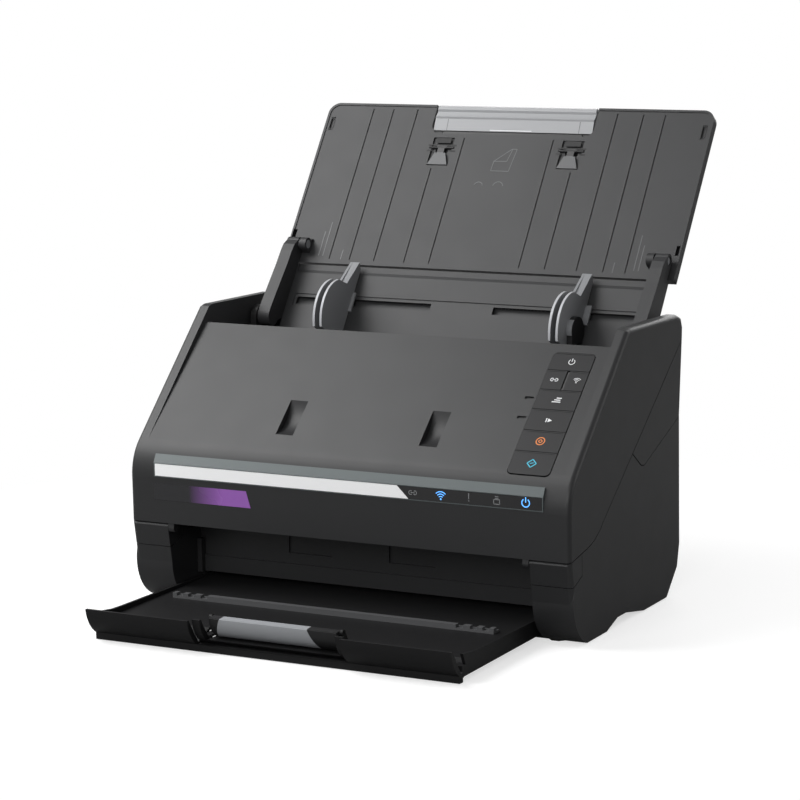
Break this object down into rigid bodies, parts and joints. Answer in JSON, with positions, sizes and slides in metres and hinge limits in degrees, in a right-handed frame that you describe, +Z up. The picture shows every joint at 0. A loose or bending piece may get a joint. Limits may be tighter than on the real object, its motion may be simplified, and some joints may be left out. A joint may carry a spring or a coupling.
{
  "type": "sheet-fed photo scanner",
  "caption": "Sheet-fed scanner with folding input tray and mirrored edge guides, opening front cover, control keys and a slide-out output tray.",
  "frame": {"origin": "middle of the footprint with the trays open, on the table", "axes": "X to the right seen from the front, Y towards the back, Z up"},
  "size_m": [0.296, 0.3464, 0.2903],
  "materials": {
    "shell_charcoal": "fine spark-eroded texture, satin",
    "tray_charcoal": "fine matt texture",
    "frame_black": "black paint on sheet steel",
    "foot_rubber": "matt",
    "socket_black": "moulded",
    "guide_black": "smooth",
    "scan_glass": "polished",
    "steel_plate": "zinc-plated sheet",
    "motor_metal": "drawn can",
    "board_green": "solder mask",
    "brass_gear": "cut",
    "steel_shaft": "ground",
    "roller_rubber": "fine grooves",
    "gear_white": "acetal",
    "bezel_grey": "satin",
    "plate_silver": "satin silver",
    "window_black": "smoked",
    "key_black": "satin",
    "idler_grey": "smooth",
    "guide_grey": "fine matt texture",
    "barrel_grey": "smooth",
    "light_grey": "satin"
  },
  "bodies": {
    "base": {"base_housing": "shell_charcoal", "pillar_caps": "shell_charcoal", "rear_upper_housing": "shell_charcoal", "tray_posts": "frame_black", "rubber_feet": "foot_rubber", "rear_sockets": "socket_black", "lower_paper_guide": "guide_black", "lower_scan_glass": "scan_glass", "lower_sensor_module": "guide_black", "side_frames": "steel_plate", "drive_motor": "motor_metal", "main_board": "board_green"},
    "motor_rotor": {"motor_pinion": "brass_gear"},
    "feed_roller": {"feed_shaft": "steel_shaft", "feed_tyres": "roller_rubber", "feed_gear": "gear_white"},
    "pickup_roller": {"pickup_shaft": "steel_shaft", "pickup_tyres": "roller_rubber", "pickup_gear": "gear_white"},
    "eject_roller": {"eject_shaft": "steel_shaft", "eject_tyres": "roller_rubber", "eject_gear": "gear_white"},
    "pickup_idler": {"pickup_idler_gear": "gear_white"},
    "eject_idler": {"eject_idler_gear": "gear_white"},
    "cover": {"scanner_cover": "shell_charcoal", "cover_inner_guide": "guide_black", "upper_scan_glass": "scan_glass", "upper_sensor_module": "guide_black", "panel_board": "board_green", "status_bezel": "bezel_grey", "name_plate": "plate_silver", "status_window": "window_black"},
    "release_lever": {"cover_release_lever": "key_black"},
    "separation_roller": {"retard_roller": "roller_rubber"},
    "feed_pinch": {"feed_idlers": "idler_grey"},
    "eject_pinch": {"eject_idlers": "idler_grey"},
    "input_tray": {"input_tray_bed": "tray_charcoal", "tray_rear_cover": "tray_charcoal", "tray_arms": "tray_charcoal"},
    "guide_pinion_wheel": {"guide_pinion": "gear_white"},
    "right_guide": {"right_edge_guide": "guide_grey"},
    "left_guide": {"left_edge_guide": "guide_grey"},
    "upper_panel": {"input_panel": "tray_charcoal", "panel_back_cover": "tray_charcoal", "panel_fold_pins": "barrel_grey"},
    "panel_extension": {"tray_extension": "light_grey"},
    "right_tab": {"right_flip_tab": "guide_grey"},
    "left_tab": {"left_flip_tab": "guide_grey"},
    "sheet_tray": {"output_tray": "tray_charcoal", "stack_rest": "light_grey"},
    "sheet_tray_slide_1": {"output_extension_1": "tray_charcoal"},
    "sheet_tray_slide_2": {"output_extension_2": "tray_charcoal"},
    "stopper": {"output_stopper": "light_grey"},
    "power_key_body": {"power_key": "key_black"},
    "link_key_body": {"link_key": "key_black"},
    "wireless_key_body": {"wireless_key": "key_black"},
    "feed_speed_key_body": {"feed_speed_key": "key_black"},
    "automatic_feed_key_body": {"automatic_feed_key": "key_black"},
    "stop_key_body": {"stop_key": "key_black"},
    "start_key_body": {"start_key": "key_black"}
  },
  "joints": [
    {"name": "feed_roller_turn", "type": "hinge", "parent": "base", "child": "feed_roller", "pos_m": [0, 0.01947, 0.08287], "axis": [1, 0, 0], "continuous": true},
    {"name": "motor_turn", "type": "hinge", "parent": "base", "child": "motor_rotor", "pos_m": [0.00013, 0.03233, 0.06755], "axis": [1, 0, 0], "continuous": true},
    {"name": "pickup_roller_turn", "type": "hinge", "parent": "base", "child": "pickup_roller", "pos_m": [0, 0.0477, 0.1031], "axis": [1, 0, 0], "continuous": true},
    {"name": "eject_roller_turn", "type": "hinge", "parent": "base", "child": "eject_roller", "pos_m": [0, -0.02388, 0.05238], "axis": [1, 0, 0], "continuous": true},
    {"name": "pickup_idler_turn", "type": "hinge", "parent": "base", "child": "pickup_idler", "pos_m": [0.00013, 0.03253, 0.09803], "axis": [1, 0, 0], "continuous": true},
    {"name": "eject_idler_turn", "type": "hinge", "parent": "base", "child": "eject_idler", "pos_m": [0.00013, -0.00343, 0.06676], "axis": [1, 0, 0], "continuous": true},
    {"name": "cover_hinge", "type": "hinge", "parent": "base", "child": "cover", "pos_m": [0, -0.07501, 0.0495], "axis": [1, 0, 0], "range_deg": [0, 60]},
    {"name": "release_lever_hinge", "type": "hinge", "parent": "cover", "child": "release_lever", "pos_m": [-0.147, 0.03049, 0.141], "axis": [1, 0, 0], "range_deg": [0, 12], "stiffness_Nm_per_rad": 0.03, "springref_deg": -11.46},
    {"name": "separation_roller_turn", "type": "hinge", "parent": "cover", "child": "separation_roller", "pos_m": [0, 0.0312, 0.11492], "axis": [1, 0, 0], "continuous": true},
    {"name": "feed_pinch_turn", "type": "hinge", "parent": "cover", "child": "feed_pinch", "pos_m": [0, 0.01162, 0.09361], "axis": [1, 0, 0], "continuous": true},
    {"name": "eject_pinch_turn", "type": "hinge", "parent": "cover", "child": "eject_pinch", "pos_m": [0, -0.03085, 0.0619], "axis": [1, 0, 0], "continuous": true},
    {"name": "tray_fold", "type": "hinge", "parent": "base", "child": "input_tray", "pos_m": [0, 0.06335, 0.16052], "axis": [-1, 0, 0], "range_deg": [-125.6, 0]},
    {"name": "panel_fold", "type": "hinge", "parent": "input_tray", "child": "upper_panel", "pos_m": [0, 0.10088, 0.20314], "axis": [-1, 0, 0], "range_deg": [-41.6, 0]},
    {"name": "extension_slide", "type": "slide", "parent": "upper_panel", "child": "panel_extension", "axis": [0, 0.5821, 0.8131], "range_m": [0, 0.075]},
    {"name": "right_guide_slide", "type": "slide", "parent": "input_tray", "child": "right_guide", "axis": [1, 0, 0], "range_m": [-0.052, 0.026]},
    {"name": "left_guide_slide", "type": "slide", "parent": "input_tray", "child": "left_guide", "axis": [-1, 0, 0], "range_m": [-0.052, 0.026]},
    {"name": "guide_pinion_turn", "type": "hinge", "parent": "input_tray", "child": "guide_pinion_wheel", "pos_m": [0, 0.08464, 0.16742], "axis": [0, -0.8131, 0.5821], "range_deg": [-400, 770]},
    {"name": "right_tab_flip", "type": "hinge", "parent": "upper_panel", "child": "right_tab", "pos_m": [0.0465, 0.1506, 0.26384], "axis": [-1, 0, 0], "range_deg": [0, 90]},
    {"name": "left_tab_flip", "type": "hinge", "parent": "upper_panel", "child": "left_tab", "pos_m": [-0.0465, 0.1506, 0.26384], "axis": [-1, 0, 0], "range_deg": [0, 90]},
    {"name": "sheet_tray_slide", "type": "slide", "parent": "base", "child": "sheet_tray", "axis": [0, -1, 0], "range_m": [-0.095, 0]},
    {"name": "sheet_tray_slide_1_pull", "type": "slide", "parent": "sheet_tray", "child": "sheet_tray_slide_1", "axis": [0, -1, 0], "range_m": [0, 0.06]},
    {"name": "sheet_tray_slide_2_pull", "type": "slide", "parent": "sheet_tray_slide_1", "child": "sheet_tray_slide_2", "axis": [0, -1, 0], "range_m": [0, 0.055]},
    {"name": "stopper_flip", "type": "hinge", "parent": "sheet_tray_slide_2", "child": "stopper", "pos_m": [0, -0.15721, 0.02015], "axis": [-1, 0, 0], "range_deg": [0, 185]},
    {"name": "power_press", "type": "slide", "parent": "cover", "child": "power_key_body", "axis": [0, 0.6639, -0.7478], "range_m": [0, 0.0008], "stiffness_N_per_m": 400, "springref_m": -0.001},
    {"name": "link_press", "type": "slide", "parent": "cover", "child": "link_key_body", "axis": [0, 0.6639, -0.7478], "range_m": [0, 0.0008], "stiffness_N_per_m": 400, "springref_m": -0.001},
    {"name": "wireless_press", "type": "slide", "parent": "cover", "child": "wireless_key_body", "axis": [0, 0.6639, -0.7478], "range_m": [0, 0.0008], "stiffness_N_per_m": 400, "springref_m": -0.001},
    {"name": "feed_speed_press", "type": "slide", "parent": "cover", "child": "feed_speed_key_body", "axis": [0, 0.6639, -0.7478], "range_m": [0, 0.0008], "stiffness_N_per_m": 400, "springref_m": -0.001},
    {"name": "automatic_feed_press", "type": "slide", "parent": "cover", "child": "automatic_feed_key_body", "axis": [0, 0.6639, -0.7478], "range_m": [0, 0.0008], "stiffness_N_per_m": 400, "springref_m": -0.001},
    {"name": "stop_press", "type": "slide", "parent": "cover", "child": "stop_key_body", "axis": [0, 0.6639, -0.7478], "range_m": [0, 0.0008], "stiffness_N_per_m": 400, "springref_m": -0.001},
    {"name": "start_press", "type": "slide", "parent": "cover", "child": "start_key_body", "axis": [0, 0.6639, -0.7478], "range_m": [0, 0.0008], "stiffness_N_per_m": 400, "springref_m": -0.001}
  ],
  "couplings": [
    {"joint": "motor_turn", "follows": "feed_roller_turn", "ratio": -2.3333},
    {"joint": "pickup_idler_turn", "follows": "feed_roller_turn", "ratio": -2.3333},
    {"joint": "pickup_roller_turn", "follows": "feed_roller_turn", "ratio": 1.4},
    {"joint": "eject_idler_turn", "follows": "feed_roller_turn", "ratio": -1},
    {"joint": "eject_roller_turn", "follows": "feed_roller_turn", "ratio": 1.2727},
    {"joint": "left_guide_slide", "follows": "right_guide_slide", "ratio": 1},
    {"joint": "guide_pinion_turn", "follows": "right_guide_slide", "rad_per_m": -250}
  ]
}
